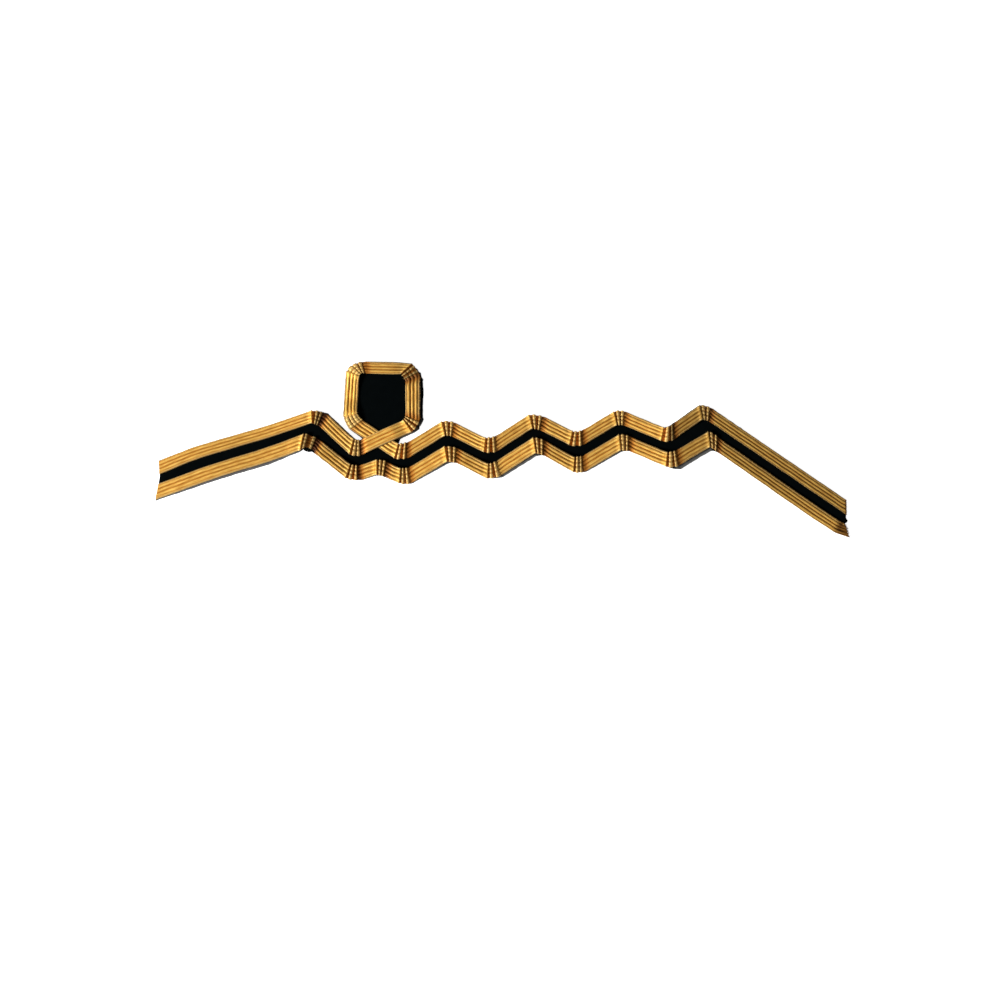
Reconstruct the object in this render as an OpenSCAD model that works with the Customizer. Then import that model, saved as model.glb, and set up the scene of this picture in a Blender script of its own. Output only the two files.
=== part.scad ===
/* [Lace] */
// Width of the gold lace where it lies flat
lace_w = 6.2; // [5.6:0.1:6.6]
// Thickness of the lace over its four cords
lace_t = 1.3; // [1.2:0.1:1.8]
// Depth of the two deep furrows between the cords
furrow = 0.35; // [0.1:0.05:0.4]
// Depth of the shallow furrow down the middle
mid_furrow = 0.15; // [0:0.05:0.3]
// How much lower the selvedges lie than the cords
selvedge_drop = 0.4; // [0.1:0.05:0.5]

/* [Pleats] */
// Height of the first pleat of a turn above the flat lace
pile = 1.1; // [0.6:0.1:1.6]
// Height of the lace at the bottom of the gap behind a pleat
pleat_floor = 0.8; // [0.5:0.1:1]
// Length over which a run climbs onto its pleats
pleat_rise = 1.8; // [1:0.1:2]

/* [Cloth] */
// Thickness of the black ground cloth
cloth_t = 1.2; // [1:0.1:3]

/* [Gaps] */
// Gap between the cloth and the lace sewn on it
lace_gap = 0.05; // [0.02:0.01:0.1]
// Gap between the two runs of the upper lace where they cross
cross_gap = 0.1; // [0.05:0.01:0.2]

/* [Hidden] */

// A row of a lace table is one end or one turn of the lace, from left to right along it.
// x, y: where the straight runs before and after the turn would meet
// pleats: ridges between the first and the last fold line, 0 for an end or a plain bend
// over: 1 where the run before lies on the pleats, -1 where the run after does
// before, after: from that meeting point to the first and to the last fold line
// lean_a, lean_b: how far those two lines turn from square across their run, toward each other
// bulge: how far the middle pleats stand out past the straight line between the two
// share: width of the run that follows, as a share of lace_w
// show_a, show_b: black cloth showing past the lace's outer edge at the two lines
X = 0;
Y = 1;
PLEATS = 2;
OVER = 3;
BEFORE = 4;
LEAN_A = 5;
AFTER = 6;
LEAN_B = 7;
BULGE = 8;
SHARE = 9;
SHOW_A = 10;
SHOW_B = 11;

// The upper lace: left tail, first peak and valley, the loop, three more peaks, right tail
UPPER = [
  //   x,     y, pleats, over, before, lean_a, after, lean_b, bulge, share, show_a, show_b
  [-154.4,  -8.0, 0,  1, 0,   -18, 0,   -18, 0.0, 0.95, 0.1, 0.1],
  [-136.3,  -1.0, 0,  1, 0,     0, 0,     0, 0.0, 0.90, 0.1, 0.1],
  [-106.1,   7.9, 0,  1, 0,     0, 0,     0, 0.0, 0.87, 0.1, 0.1],
  [ -83.2,  15.7, 2,  1, 2.8,  16, 3.8,  12, 0.3, 1.02, 0.1, 0.4],
  [ -66.1,  -0.2, 2,  1, 2.1,  28, 2.5,  20, 0.2, 1.04, 0.4, 0.1],
  [ -40.3,  11.6, 2,  1, 2.6,   9, 3.1,  16, 0.4, 1.05, 0.7, 1.6],
  [ -40.2,  36.3, 2, -1, 4.1,  23, 2.9,  44, 0.1, 0.73, 1.0, 0.2],
  [ -46.5,  36.6, 0,  1, 0,     0, 0,     0, 0.0, 0.86, 0.1, 0.1],
  [ -67.2,  37.1, 4, -1, 6.0,   5, 3.5,  17, 1.4, 0.97, 0.1, 0.2],
  [ -68.6,  13.1, 2,  1, 3.0,  16, 3.5,  19, 0.4, 1.03, 0.2, 0.2],
  [ -45.4,  -2.1, 2,  1, 2.6,  18, 3.7,  30, 0.2, 1.00, 0.1, 0.1],
  [ -24.8,  10.5, 2,  1, 2.0,  18, 3.4,  14, 0.3, 0.98, 0.1, 0.1],
  [  -5.4,   0.8, 2,  1, 3.1,  19, 3.6,  25, 0.4, 0.98, 0.1, 0.2],
  [  14.4,  13.7, 2,  1, 2.1,  19, 4.7,  10, 0.3, 1.00, 0.1, 0.1],
  [  33.6,   3.8, 2,  1, 2.9,  14, 3.3,  23, 0.4, 0.96, 0.1, 0.1],
  [  52.6,  15.1, 2,  1, 2.0,  18, 3.0,  15, 0.3, 0.96, 0.1, 0.1],
  [  74.3,   6.0, 2,  1, 2.1,  11, 3.5,  31, 0.4, 0.96, 0.2, 0.3],
  [  90.7,  17.7, 2,  1, 1.6,  23, 3.7,  24, 0.2, 0.88, 0.2, 0.2],
  [ 154.9, -26.0, 0,  1, 0,    35, 0,    35, 0.0, 0.88, 0.1, 0.1]
];

// The lower lace: the same zigzag with a low peak below the crossing and no loop
LOWER = [
  //   x,     y, pleats, over, before, lean_a, after, lean_b, bulge, share, show_a, show_b
  [-155.4, -18.9, 0,  1, 0,   -30, 0,   -30, 0.0, 1.02, 0.1, 0.1],
  [-130.1,  -9.8, 0,  1, 0,     0, 0,     0, 0.0, 1.02, 0.8, 0.8],
  [-106.4,  -2.4, 0,  1, 0,     0, 0,     0, 0.0, 1.02, 0.8, 0.8],
  [ -87.2,   4.5, 2,  1, 2.7,  32, 5.3,  11, 0.3, 1.00, 1.2, 0.1],
  [ -67.1, -11.6, 2,  1, 3.1,  20, 3.8,  12, 0.4, 1.03, 0.1, 0.2],
  [ -55.5,  -7.4, 2,  1, 1.5,  19, 4.1,  13, 0.3, 1.03, 0.4, 0.3],
  [ -43.7, -12.9, 2,  1, 2.9,  19, 2.5,  21, 0.3, 1.05, 0.1, 0.4],
  [ -23.8,  -0.9, 2,  1, 2.1,  21, 4.4,  18, 0.3, 0.99, 1.0, 0.1],
  [  -5.0, -10.6, 2,  1, 2.2,  22, 4.2,  14, 0.4, 1.04, 0.1, 0.7],
  [  15.5,   2.7, 2,  1, 1.4,  23, 4.8,  23, 0.3, 0.98, 1.0, 0.1],
  [  34.2,  -7.9, 2,  1, 2.4,  25, 3.5,  25, 0.3, 1.04, 0.1, 0.4],
  [  54.0,   4.0, 2,  1, 1.5,  24, 4.1,  18, 0.3, 1.00, 0.9, 0.1],
  [  76.2,  -5.4, 2,  1, 2.7,  17, 3.5,  18, 0.4, 1.03, 0.1, 1.6],
  [  93.2,   4.8, 2,  1, 0.2,  23, 5.1,  28, 0.3, 0.91, 1.4, 0.1],
  [ 150.0, -34.3, 0,  1, 0,     0, 0,     0, 0.0, 0.90, 0.1, 0.1],
  [ 155.1, -36.5, 0,  1, 0,    40, 0,    40, 0.0, 0.78, 0.1, 0.1]
];

// Rows of UPPER where the outline of the cloth turns off round the loop and comes back
VALLEY_1 = 4;
LOOP_LOW_RIGHT = 5;
LOOP_LOW_LEFT = 9;
VALLEY_2 = 10;
// Cloth left beside the crossing at the bottom of each of the two notches
notch_left = 0.6;
notch_right = 2.2;
// Where the left notch leaves the first valley's lace, past its last fold line
notch_start = 0.5;
// Tip of the frayed tongue of cloth that stands out between the laces at the right end
TONGUE = [155.6, -32.0];

// The run after VALLEY_1 climbs over the run that leaves the loop.
// along: share of the run's length, lift: share of the full climb
CLIMB = [
  [0.02, 0], [0.11, 1], [0.40, 1], [0.66, 1], [0.86, 0]
];
// Shares of the length at which every other run has a section of its own
PLAIN = [[0.2, 0], [0.5, 0], [0.8, 0]];

// Across the lace: share of the width from the left edge, and how far the top dips there
ACROSS = [
  [0.00, selvedge_drop], [0.12, 0], [0.26, furrow], [0.38, 0], [0.50, mid_furrow],
  [0.62, 0], [0.74, furrow], [0.88, 0], [1.00, selvedge_drop]
];

// Behind a ridge: share of the pleat's pitch, 0 for the ridge's height to 1 for the floor, and
// how far the fold reaches past the lace's own edges
PLEAT_BACK = [[0, 0, 0.2], [0.12, 0.3, 0.2], [0.24, 1, -0.2], [0.66, 0.45, 0]];

function mix(a, b, t) = a + (b - a) * t;
// 0 at both ends and 1 halfway
function bow(t) = 4 * t * (1 - t);
function turn_at(v, angle) = [v[0] * cos(angle) - v[1] * sin(angle), v[0] * sin(angle) + v[1] * cos(angle)];
function spot(row) = [row[X], row[Y]];
// Unit vector along the run that leaves row i
function way(rows, i) = let (d = spot(rows[i + 1]) - spot(rows[i])) d / norm(d);
function way_in(rows, i) = way(rows, max(i - 1, 0));
function way_out(rows, i) = way(rows, min(i, len(rows) - 2));
// 1 for a turn to the left, -1 for one to the right
function hand(rows, i) = let (a = way_in(rows, i), b = way_out(rows, i)) a[0] * b[1] - a[1] * b[0] < 0 ? -1 : 1;
function half_width(rows, i) = lace_w * rows[i][SHARE] / 2;
function is_pleated(rows, i) = rows[i][PLEATS] > 0;

// The point on a turn's first (last = 0) or last (last = 1) fold line, on the left edge of the
// lace (side = 1) or the right one (side = -1), moved outward by out.
// An end or a plain bend has one line only, as wide as the run that follows.
function line_end(rows, i, last, side, out = 0) =
  let (
    row = rows[i],
    leaving = last == 1 || !is_pleated(rows, i),
    run = leaving ? way_out(rows, i) : way_in(rows, i),
    ends = i == 0 || i == len(rows) - 1,
    lean = ends ? row[LEAN_A] : hand(rows, i) * (leaving ? -row[LEAN_B] : row[LEAN_A]),
    half = half_width(rows, leaving ? i : i - 1) + out,
    middle = spot(row) + run * (leaving ? row[AFTER] : -row[BEFORE])
  )
  middle + side * turn_at(run, 90 + lean) * half / cos(lean);

// A section of the lace: left point, right point, height of the cords over the underside, and
// lift of the underside, as a share of the full climb
LEFT = 0;
RIGHT = 1;
HEIGHT = 2;
LIFT = 3;
function flat_line(rows, i, last) =
  [line_end(rows, i, last, 1), line_end(rows, i, last, -1), lace_t, 0];

// A section between two fold lines, at share t of the way, moved by the vector out and made
// longer at both ends by reach
function between(a, b, t, height, out = [0, 0], reach = 0) =
  let (
    left = mix(a[LEFT], b[LEFT], t) + out,
    right = mix(a[RIGHT], b[RIGHT], t) + out,
    longer = reach * (left - right) / norm(left - right)
  )
  [left + longer, right - longer, height, 0];

// The ridges of a turn step down from the pile to the flat lace
function ridge_height(k, folds) = lace_t + pile * (1 - k / folds);
// The sections of one turn's pleats, in the order in which the ridges step down
function pleat_sections(a, b, folds, bulge) = [
  for (k = [0:folds - 1], back = PLEAT_BACK)
    let (
      t = (k + back[0]) / folds,
      from = ridge_height(back[0] < 0.5 ? k : k + 1, folds),
      height = mix(from, pleat_floor, back[1])
    )
    between(a, b, t, height, bulge * bow(t), t == 0 ? 0 : back[2])
];

// The vector by which the middle of a turn's pleats stands out from its fold lines
function bulge_of(rows, i) =
  let (ahead = way_in(rows, i) + way_out(rows, i))
  -hand(rows, i) * rows[i][BULGE] * turn_at(ahead, 90) / norm(ahead);

function reversed(list) = [for (i = [len(list) - 1:-1:0]) list[i]];

// The sections of one end, bend or pleated turn, in the lace's own order
function turn_sections(rows, i) =
  let (
    row = rows[i],
    a = flat_line(rows, i, 0),
    b = flat_line(rows, i, 1),
    bulge = bulge_of(rows, i),
    folds = row[PLEATS] + 1
  )
  !is_pleated(rows, i) ? [a]
  : row[OVER] == 1 ? concat(pleat_sections(a, b, folds, bulge), [b])
  : concat([a], reversed(pleat_sections(b, a, folds, bulge)));

// The plain sections of the run that leaves row i, with a rise toward a pile of pleats
function run_sections(rows, i, climb) =
  let (
    a = flat_line(rows, i, 1),
    b = flat_line(rows, i + 1, 0),
    length = norm(a[LEFT] + a[RIGHT] - b[LEFT] - b[RIGHT]) / 2,
    near = pleat_rise / length,
    starts_high = is_pleated(rows, i) && rows[i][OVER] == -1,
    ends_high = is_pleated(rows, i + 1) && rows[i + 1][OVER] == 1,
    rise = lace_t + 0.3 * pile
  )
  concat(
    starts_high ? [between(a, b, near, rise)] : [],
    [for (c = climb) [mix(a[LEFT], b[LEFT], c[0]), mix(a[RIGHT], b[RIGHT], c[0]), lace_t, c[1]]],
    ends_high ? [between(a, b, 1 - near, rise)] : []
  );

function lace_sections(rows, crossing) = [
  for (i = [0:len(rows) - 1])
    for (s = concat(turn_sections(rows, i),
                    i == len(rows) - 1 ? [] : run_sections(rows, i, i == crossing ? CLIMB : PLAIN)))
      s
];

// The ring of points of one section: across the top from left to right, then back underneath
function ring(s) =
  let (low = cloth_t + lace_gap + s[LIFT] * (lace_t + cross_gap))
  concat(
    [for (c = ACROSS) let (p = mix(s[LEFT], s[RIGHT], c[0])) [p[0], p[1], low + s[HEIGHT] - c[1]]],
    [[s[RIGHT][0], s[RIGHT][1], low], [s[LEFT][0], s[LEFT][1], low]]
  );

module swept_lace(rows, crossing = -1) {
  sections = lace_sections(rows, crossing);
  count = len(sections);
  side = len(ACROSS) + 2;
  points = [for (s = sections) for (p = ring(s)) p];
  walls = [
    for (i = [0:count - 2], j = [0:side - 1])
      let (a = i * side + j, b = i * side + (j + 1) % side)
      for (face = [[a, a + side, b], [b, a + side, b + side]]) face
  ];
  first = [for (j = [0:side - 1]) j];
  last = [for (j = [side - 1:-1:0]) (count - 1) * side + j];
  polyhedron(points = points, faces = concat([first, last], walls), convexity = 10);
}

// The cloth's edge along the turns from row a to row b, on one side of the lace
function cloth_edge(rows, a, b, side) = [
  for (i = [a:b])
    let (
      first = line_end(rows, i, 0, side, rows[i][SHOW_A]),
      last = line_end(rows, i, 1, side, rows[i][SHOW_B])
    )
    for (t = is_pleated(rows, i) ? [0, 1/3, 2/3, 1] : [0])
      mix(first, last, t) + bow(t) * bulge_of(rows, i)
];

// Where the line through p along v meets the line through q along w
function meeting(p, v, q, w) =
  let (d = q - p) p + v * (d[0] * w[1] - d[1] * w[0]) / (v[0] * w[1] - v[1] * w[0]);

// The bottom of the notch between the first valley and the run that leaves the loop
function left_notch() =
  let (
    under = line_end(UPPER, LOOP_LOW_LEFT, 1, -1, UPPER[LOOP_LOW_LEFT][SHOW_B]),
    over = line_end(UPPER, VALLEY_1, 1, 1, 0)
  )
  [
    over + way(UPPER, VALLEY_1) * notch_start,
    meeting(under, way(UPPER, LOOP_LOW_LEFT), over, way(UPPER, VALLEY_1)) - [notch_left, 0]
  ];

// The bottom of the notch between the loop and the second valley
function right_notch() =
  let (
    under = line_end(UPPER, VALLEY_2, 0, 1, notch_right),
    over = line_end(UPPER, LOOP_LOW_RIGHT, 0, -1, UPPER[LOOP_LOW_RIGHT][SHOW_A])
  )
  [meeting(under, way(UPPER, LOOP_LOW_LEFT), over, way(UPPER, VALLEY_1))];

function cloth_outline() =
  let (upper_end = len(UPPER) - 1, lower_end = len(LOWER) - 1)
  concat(
    cloth_edge(UPPER, 0, VALLEY_1, 1),
    left_notch(),
    reversed(cloth_edge(UPPER, LOOP_LOW_RIGHT, LOOP_LOW_LEFT, -1)),
    right_notch(),
    cloth_edge(UPPER, VALLEY_2, upper_end, 1),
    [line_end(UPPER, upper_end, 0, -1)],
    [TONGUE],
    [line_end(LOWER, lower_end, 0, 1)],
    reversed(cloth_edge(LOWER, 0, lower_end, -1)),
    [line_end(LOWER, 0, 0, 1)],
    [line_end(UPPER, 0, 0, -1)]
  );

module ground_cloth() {
  color("#15171b")
  linear_extrude(height = cloth_t)
  polygon(cloth_outline());
}

module upper_lace() {
  color("goldenrod")
  swept_lace(UPPER, VALLEY_1);
}

module lower_lace() {
  color("goldenrod")
  swept_lace(LOWER);
}

ground_cloth();
upper_lace();
lower_lace();
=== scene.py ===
# %% [markdown]
# # A strip of cuff rank lace
#
# The object is a flat strip that a tailor sews round the cuff of a uniform sleeve. Two gold laces
# run in a zigzag over a ground of black cloth, and the upper one makes a five-sided loop.
# The solids already give the place of everything, so this lesson dresses them: cloth that looks
# like milled wool, lace with its cords and knife pleats, the stitches, and the frayed cut ends.

import math
import random
from collections import namedtuple

import bpy
import numpy as np
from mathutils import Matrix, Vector, geometry, noise


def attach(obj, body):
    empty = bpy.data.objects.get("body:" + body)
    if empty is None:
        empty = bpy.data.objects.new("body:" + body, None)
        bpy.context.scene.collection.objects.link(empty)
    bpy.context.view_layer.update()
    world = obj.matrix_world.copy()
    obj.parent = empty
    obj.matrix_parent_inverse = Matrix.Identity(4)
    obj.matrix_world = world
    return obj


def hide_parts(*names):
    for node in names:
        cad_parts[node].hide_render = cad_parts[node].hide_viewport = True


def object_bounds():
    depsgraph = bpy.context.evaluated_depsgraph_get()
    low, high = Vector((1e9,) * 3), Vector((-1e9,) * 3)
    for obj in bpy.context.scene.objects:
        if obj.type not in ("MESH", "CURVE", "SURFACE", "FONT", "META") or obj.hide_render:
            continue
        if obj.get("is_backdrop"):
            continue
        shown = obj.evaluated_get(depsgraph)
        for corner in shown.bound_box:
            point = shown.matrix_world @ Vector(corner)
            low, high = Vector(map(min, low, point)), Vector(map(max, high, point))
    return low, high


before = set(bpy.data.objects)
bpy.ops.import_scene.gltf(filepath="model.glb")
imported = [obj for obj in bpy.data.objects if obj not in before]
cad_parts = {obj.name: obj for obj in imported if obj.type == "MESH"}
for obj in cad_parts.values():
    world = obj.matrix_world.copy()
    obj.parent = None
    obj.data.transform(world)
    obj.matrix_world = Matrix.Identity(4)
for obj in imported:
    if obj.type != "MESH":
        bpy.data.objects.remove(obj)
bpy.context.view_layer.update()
MM = 0.001

# %% [markdown]
# ## The plan of the two laces
#
# A lace is one long ribbon, so its plan is a short table, from left to right. A row is an end, a
# plain bend or a pleated turn. The same plan is in the part's source. A row says
#
# - x and y: where the two straight runs would meet, in millimetres
# - over: 1 if the left run lies on top in the turn, -1 if the right one does
# - before, lean_a, after, lean_b: how far from there the first and the last fold line stand, and
#   by how many degrees they lean
# - bulge: how far the fan of pleats swells outward
# - share: the width of the next run, in lace widths
# - show_a and show_b: how far the cloth is cut past the lace at the two fold lines
# - tone: how bright the next run is painted, a painted light for how the light falls on it
# - under: how dark a shade is painted on the lower run where it comes out below the pleats
#
# Then come the crests, each with a place, a shine (how bright it is painted) and the depth of the
# gap before it, which also sets the shade painted in that gap. Half its width and the width of that
# gap follow where they aren't the usual ones.

# %% Rows of the plan
CREST_HALF, GAP_WIDTH = 0.60, 0.60
NUMBERS = "x y over before lean_a after lean_b bulge share show_a show_b tone under".split()
Turn = namedtuple("Turn", NUMBERS + ["crests"])
Crest = namedtuple("Crest", "place shine gap half before", defaults=(CREST_HALF, GAP_WIDTH))


def bend(x, y, share, show, tone, lean=0):
    """A row without pleats."""
    return Turn(x, y, 1, 0, lean, 0, lean, 0.0, share, show, show, tone, 0, ())


def fold(*row):
    """A row with pleats: its numbers, then its crests."""
    crests = tuple(Crest(*crest) for crest in row[len(NUMBERS) :])
    return Turn(*row[: len(NUMBERS)], crests)


print("numbers in a row:", len(NUMBERS))

# %% [markdown]
# ## The two tables
#
# The upper lace climbs into the loop at its second turn and leaves it at the sixth. The lower lace
# has one low peak there. The scale comes from the width that such lace is woven in.

# %% Both laces, in millimetres and degrees
UPPER = [
    bend(-154.4, -8.0, 0.95, 0.1, 0.95, -18),
    bend(-136.3, -1.0, 0.90, 0.1, 0.83),
    bend(-106.1, 7.9, 0.87, 0.1, 1.00),
    fold(-83.2, 15.7, 1, 2.8, 16, 3.8, 12, 0.3, 1.02, 0.1, 0.4, 0.70, 2.4,
         (2.0, 0.72, 1.0, 0.60, 1.1), (3.5, 0.41, 1.0)),
    fold(-66.1, -0.2, 1, 2.1, 28, 2.5, 20, 0.2, 1.04, 0.4, 0.1, 1.00, 2.0,
         (1.15, 0.97, 0.8), (2.9, 0.90, 0.5)),
    fold(-40.3, 11.6, 1, 2.6, 9, 3.1, 16, 0.4, 1.05, 0.7, 1.6, 0.63, 1.0,
         (1.4, 1.12, 0.9), (3.2, 1.05, 1.0)),
    fold(-40.2, 36.3, -1, 4.1, 23, 2.9, 44, 0.1, 0.73, 1.0, 0.2, 0.58, 1.9,
         (1.3, 0.66, 1.1), (3.3, 0.46, 1.0)),
    bend(-46.5, 36.6, 0.86, 0.1, 0.83),
    fold(-67.2, 37.1, -1, 6.0, 5, 3.5, 17, 1.4, 0.97, 0.1, 0.2, 0.99, 1.5,
         (2.0, 1.50, 0.0), (3.75, 1.40, 0.2), (5.3, 1.00, 0.7)),
    fold(-68.6, 13.1, 1, 3.0, 16, 3.5, 19, 0.4, 1.03, 0.2, 0.2, 0.85, 0.6,
         (1.9, 1.02, 0.1), (3.5, 1.08, 0.1), (4.9, 1.16, 0.1)),
    fold(-45.4, -2.1, 1, 2.6, 18, 3.7, 30, 0.2, 1.00, 0.1, 0.1, 0.91, 1.8,
         (1.3, 1.28, 0.9, 0.70), (3.5, 1.08, 1.0)),
    fold(-24.8, 10.5, 1, 2.0, 18, 3.4, 14, 0.3, 0.98, 0.1, 0.1, 0.87, 1.2,
         (1.5, 1.02, 0.8, 0.65, 0.70), (3.45, 1.02, 0.9)),
    fold(-5.4, 0.8, 1, 3.1, 19, 3.6, 25, 0.4, 0.98, 0.1, 0.2, 0.83, 0.6,
         (1.9, 1.12, 0.9, 0.65, 0.85), (4.2, 0.96, 1.1)),
    fold(14.4, 13.7, 1, 2.1, 19, 4.7, 10, 0.3, 1.00, 0.1, 0.1, 0.80, 1.7,
         (1.85, 1.07, 0.8, 0.65, 0.85), (4.0, 0.95, 1.0)),
    fold(33.6, 3.8, 1, 2.9, 14, 3.3, 23, 0.4, 0.96, 0.1, 0.1, 0.83, 1.7,
         (1.45, 1.06, 1.0, 0.70, 0.85), (3.85, 1.12, 1.0)),
    fold(52.6, 15.1, 1, 2.0, 18, 3.0, 15, 0.3, 0.96, 0.1, 0.1, 1.00, 1.5,
         (1.3, 1.00, 0.7), (3.0, 1.28, 0.7)),
    fold(74.3, 6.0, 1, 2.1, 11, 3.5, 31, 0.4, 0.96, 0.2, 0.3, 0.49, 1.3,
         (1.75, 1.35, 0.9, 0.90, 1.15), (4.1, 0.36, 1.0)),
    fold(90.7, 17.7, 1, 1.6, 23, 3.7, 24, 0.2, 0.88, 0.2, 0.2, 0.51, 1.6,
         (1.35, 0.75, 0.3), (3.1, 0.72, 0.9)),
    bend(154.9, -26.0, 0.88, 0.1, 0.51, 35),
]
LOWER = [
    bend(-155.4, -18.9, 1.02, 0.5, 0.96, -30),
    bend(-130.1, -9.8, 1.02, 1.1, 0.84),
    bend(-106.4, -2.4, 1.02, 1.4, 0.96),
    fold(-87.2, 4.5, 1, 2.7, 32, 5.3, 11, 0.3, 1.00, 1.4, 0.1, 0.58, 2.8,
         (0.9, 0.58, 0.7), (4.15, 0.46, 1.15, 0.85)),
    fold(-67.1, -11.6, 1, 3.1, 20, 3.8, 12, 0.4, 1.03, 0.1, 0.2, 0.94, 2.2,
         (1.55, 1.04, 0.9, 0.70), (3.65, 1.08, 1.0)),
    fold(-55.5, -7.4, 1, 1.5, 19, 4.1, 13, 0.3, 1.03, 0.4, 0.3, 0.77, 1.95,
         (1.8, 0.95, 0.9), (3.45, 0.94, 0.9)),
    fold(-43.7, -12.9, 1, 2.9, 19, 2.5, 21, 0.3, 1.05, 0.1, 0.4, 1.02, 1.3,
         (1.5, 0.96, 0.9, 0.60, 0.50), (3.45, 1.02, 0.8)),
    fold(-23.8, -0.9, 1, 2.1, 21, 4.4, 18, 0.3, 0.99, 1.0, 0.1, 0.73, 1.5,
         (1.9, 0.98, 1.0, 0.70, 0.90), (3.9, 0.88, 0.9)),
    fold(-5.0, -10.6, 1, 2.2, 22, 4.2, 14, 0.4, 1.04, 0.1, 1.1, 0.98, 0.1,
         (1.9, 1.15, 0.8, 0.70), (4.1, 1.10, 1.0)),
    fold(15.5, 2.7, 1, 1.4, 23, 4.8, 23, 0.3, 0.98, 1.4, 0.1, 0.70, 1.8,
         (1.5, 0.98, 0.8), (3.5, 0.87, 0.9)),
    fold(34.2, -7.9, 1, 2.4, 25, 3.5, 25, 0.3, 1.04, 0.1, 0.4, 0.87, 1.6,
         (1.5, 1.10, 0.9, 0.65), (3.15, 0.88, 0.8)),
    fold(54.0, 4.0, 1, 1.5, 24, 4.1, 18, 0.3, 1.00, 0.9, 0.1, 0.97, 1.8,
         (1.6, 1.02, 0.5, 0.70), (3.4, 0.87, 0.9)),
    fold(76.2, -5.4, 1, 2.7, 17, 3.5, 18, 0.4, 1.03, 0.1, 1.9, 0.60, 1.3,
         (1.95, 1.12, 1.0, 0.95, 0.75), (4.1, 0.82, 0.9)),
    fold(93.2, 4.8, 1, 0.2, 23, 5.1, 28, 0.3, 0.91, 1.8, 0.1, 0.49, 1.7,
         (1.5, 0.80, 0.5, 0.70), (3.5, 0.78, 0.9)),
    bend(150.0, -34.3, 0.90, 0.1, 0.70),
    bend(155.1, -36.5, 0.78, 0.1, 0.70, 40),
]
VALLEY_1, LOOP_LOW_RIGHT, LOOP_LOW_LEFT, VALLEY_2 = 4, 5, 9, 10
FIRST_PEAK = 3

LACE_W, LACE_T, CLOTH_T, LACE_GAP = 6.2, 1.3, 1.2, 0.05
print("rows:", len(UPPER), "for the upper lace and", len(LOWER), "for the lower")

# %% [markdown]
# ## Fold lines
#
# A turn is a fan of pleats between two fold lines, and each line runs from the left edge of the
# lace to its right edge. These helpers find a line from a row of the table. Everything else is
# measured from such lines, so the lace, the cloth below it and the stitches all agree.

# %% Directions and fold lines
def unit(v):
    return v / np.linalg.norm(v)


def turned(v, degrees):
    c, s = math.cos(math.radians(degrees)), math.sin(math.radians(degrees))
    return np.array([v[0] * c - v[1] * s, v[0] * s + v[1] * c])


def spot(row):
    return np.array([row.x, row.y])


def way(rows, i):
    """The direction of the run that leaves row i."""
    i = min(max(i, 0), len(rows) - 2)
    return unit(spot(rows[i + 1]) - spot(rows[i]))


def hand(rows, i):
    """1 where the lace turns left, -1 where it turns right."""
    a, b = way(rows, i - 1), way(rows, i)
    return -1 if a[0] * b[1] - a[1] * b[0] < 0 else 1


def fold_line(rows, i, leaving, out=0.0):
    """Both ends of the first or last fold line of row i, lengthened by out."""
    row = rows[i]
    leaving = leaving or not row.crests
    run = way(rows, i if leaving else i - 1)
    at_end = i in (0, len(rows) - 1)
    lean = row.lean_a if at_end else hand(rows, i) * (-row.lean_b if leaving else row.lean_a)
    half = LACE_W * rows[i if leaving else i - 1].share / 2 + out
    middle = spot(row) + run * (row.after if leaving else -row.before)
    side = turned(run, 90 + lean) * half / math.cos(math.radians(lean))
    return np.array([middle + side, middle - side])


def bow(t):
    return 4 * t * (1 - t)


def bulge_of(rows, i):
    ahead = way(rows, i - 1) + way(rows, i)
    return -hand(rows, i) * rows[i].bulge * unit(turned(ahead, 90))


def smooth(t):
    t = np.clip(t, 0.0, 1.0)
    return t * t * (3 - 2 * t)


def waver(x, seed):
    """A smooth wandering value between about -1 and 1 along x."""
    return 2 * noise.noise(Vector((x, seed * 7.31 + 0.37, 0.5)))


print("first fold line of the loop, mm:", fold_line(UPPER, LOOP_LOW_RIGHT, False).round(1).tolist())

# %% [markdown]
# ## One section of lace
#
# Cuff lace is woven over three cords, the middle one a little flatter, with a plain selvedge
# along both edges. Seen from above, the cords catch the light on one flank and leave a thin dark
# line on the other, which the finish adds to with brown shade painted in the furrows. A section is
# a row of shares of the width, each with a dip below the tops of the outer cords. The top of a cord
# is a slice of an ellipse: flat on the crest and steep at the furrow. The inner furrows are deeper
# than the ones beside the selvedges.

# %% The profile across
CORD_CENTRES, CORD_TOPS = [0.25, 0.50, 0.75], [0.0, 0.10, 0.0]
CORD_HALF, CORD_ROUNDNESS = 0.125, 0.80
FURROW, OUTER_FURROW = 0.73, 0.52
SELVEDGE_AT, SELVEDGE_FALL = [0.0, 0.045, 0.088, 0.125], [0.60, 0.40, 0.34, OUTER_FURROW]
SELVEDGE_SHADE = 0.3


def cord_dip(across):
    """Depth below the crests, in mm, at a share of the width."""
    from_edge = min(across, 1 - across)
    if from_edge < SELVEDGE_AT[-1]:
        return float(np.interp(from_edge, SELVEDGE_AT, SELVEDGE_FALL))
    cord = min(range(3), key=lambda k: abs(across - CORD_CENTRES[k]))
    x = min(abs(across - CORD_CENTRES[cord]) / CORD_HALF, 1.0)
    fall = (1 - math.sqrt(1 - CORD_ROUNDNESS * x * x)) / (1 - math.sqrt(1 - CORD_ROUNDNESS))
    floor = OUTER_FURROW if from_edge < CORD_CENTRES[0] else FURROW
    return CORD_TOPS[cord] + (floor - CORD_TOPS[cord]) * fall


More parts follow.
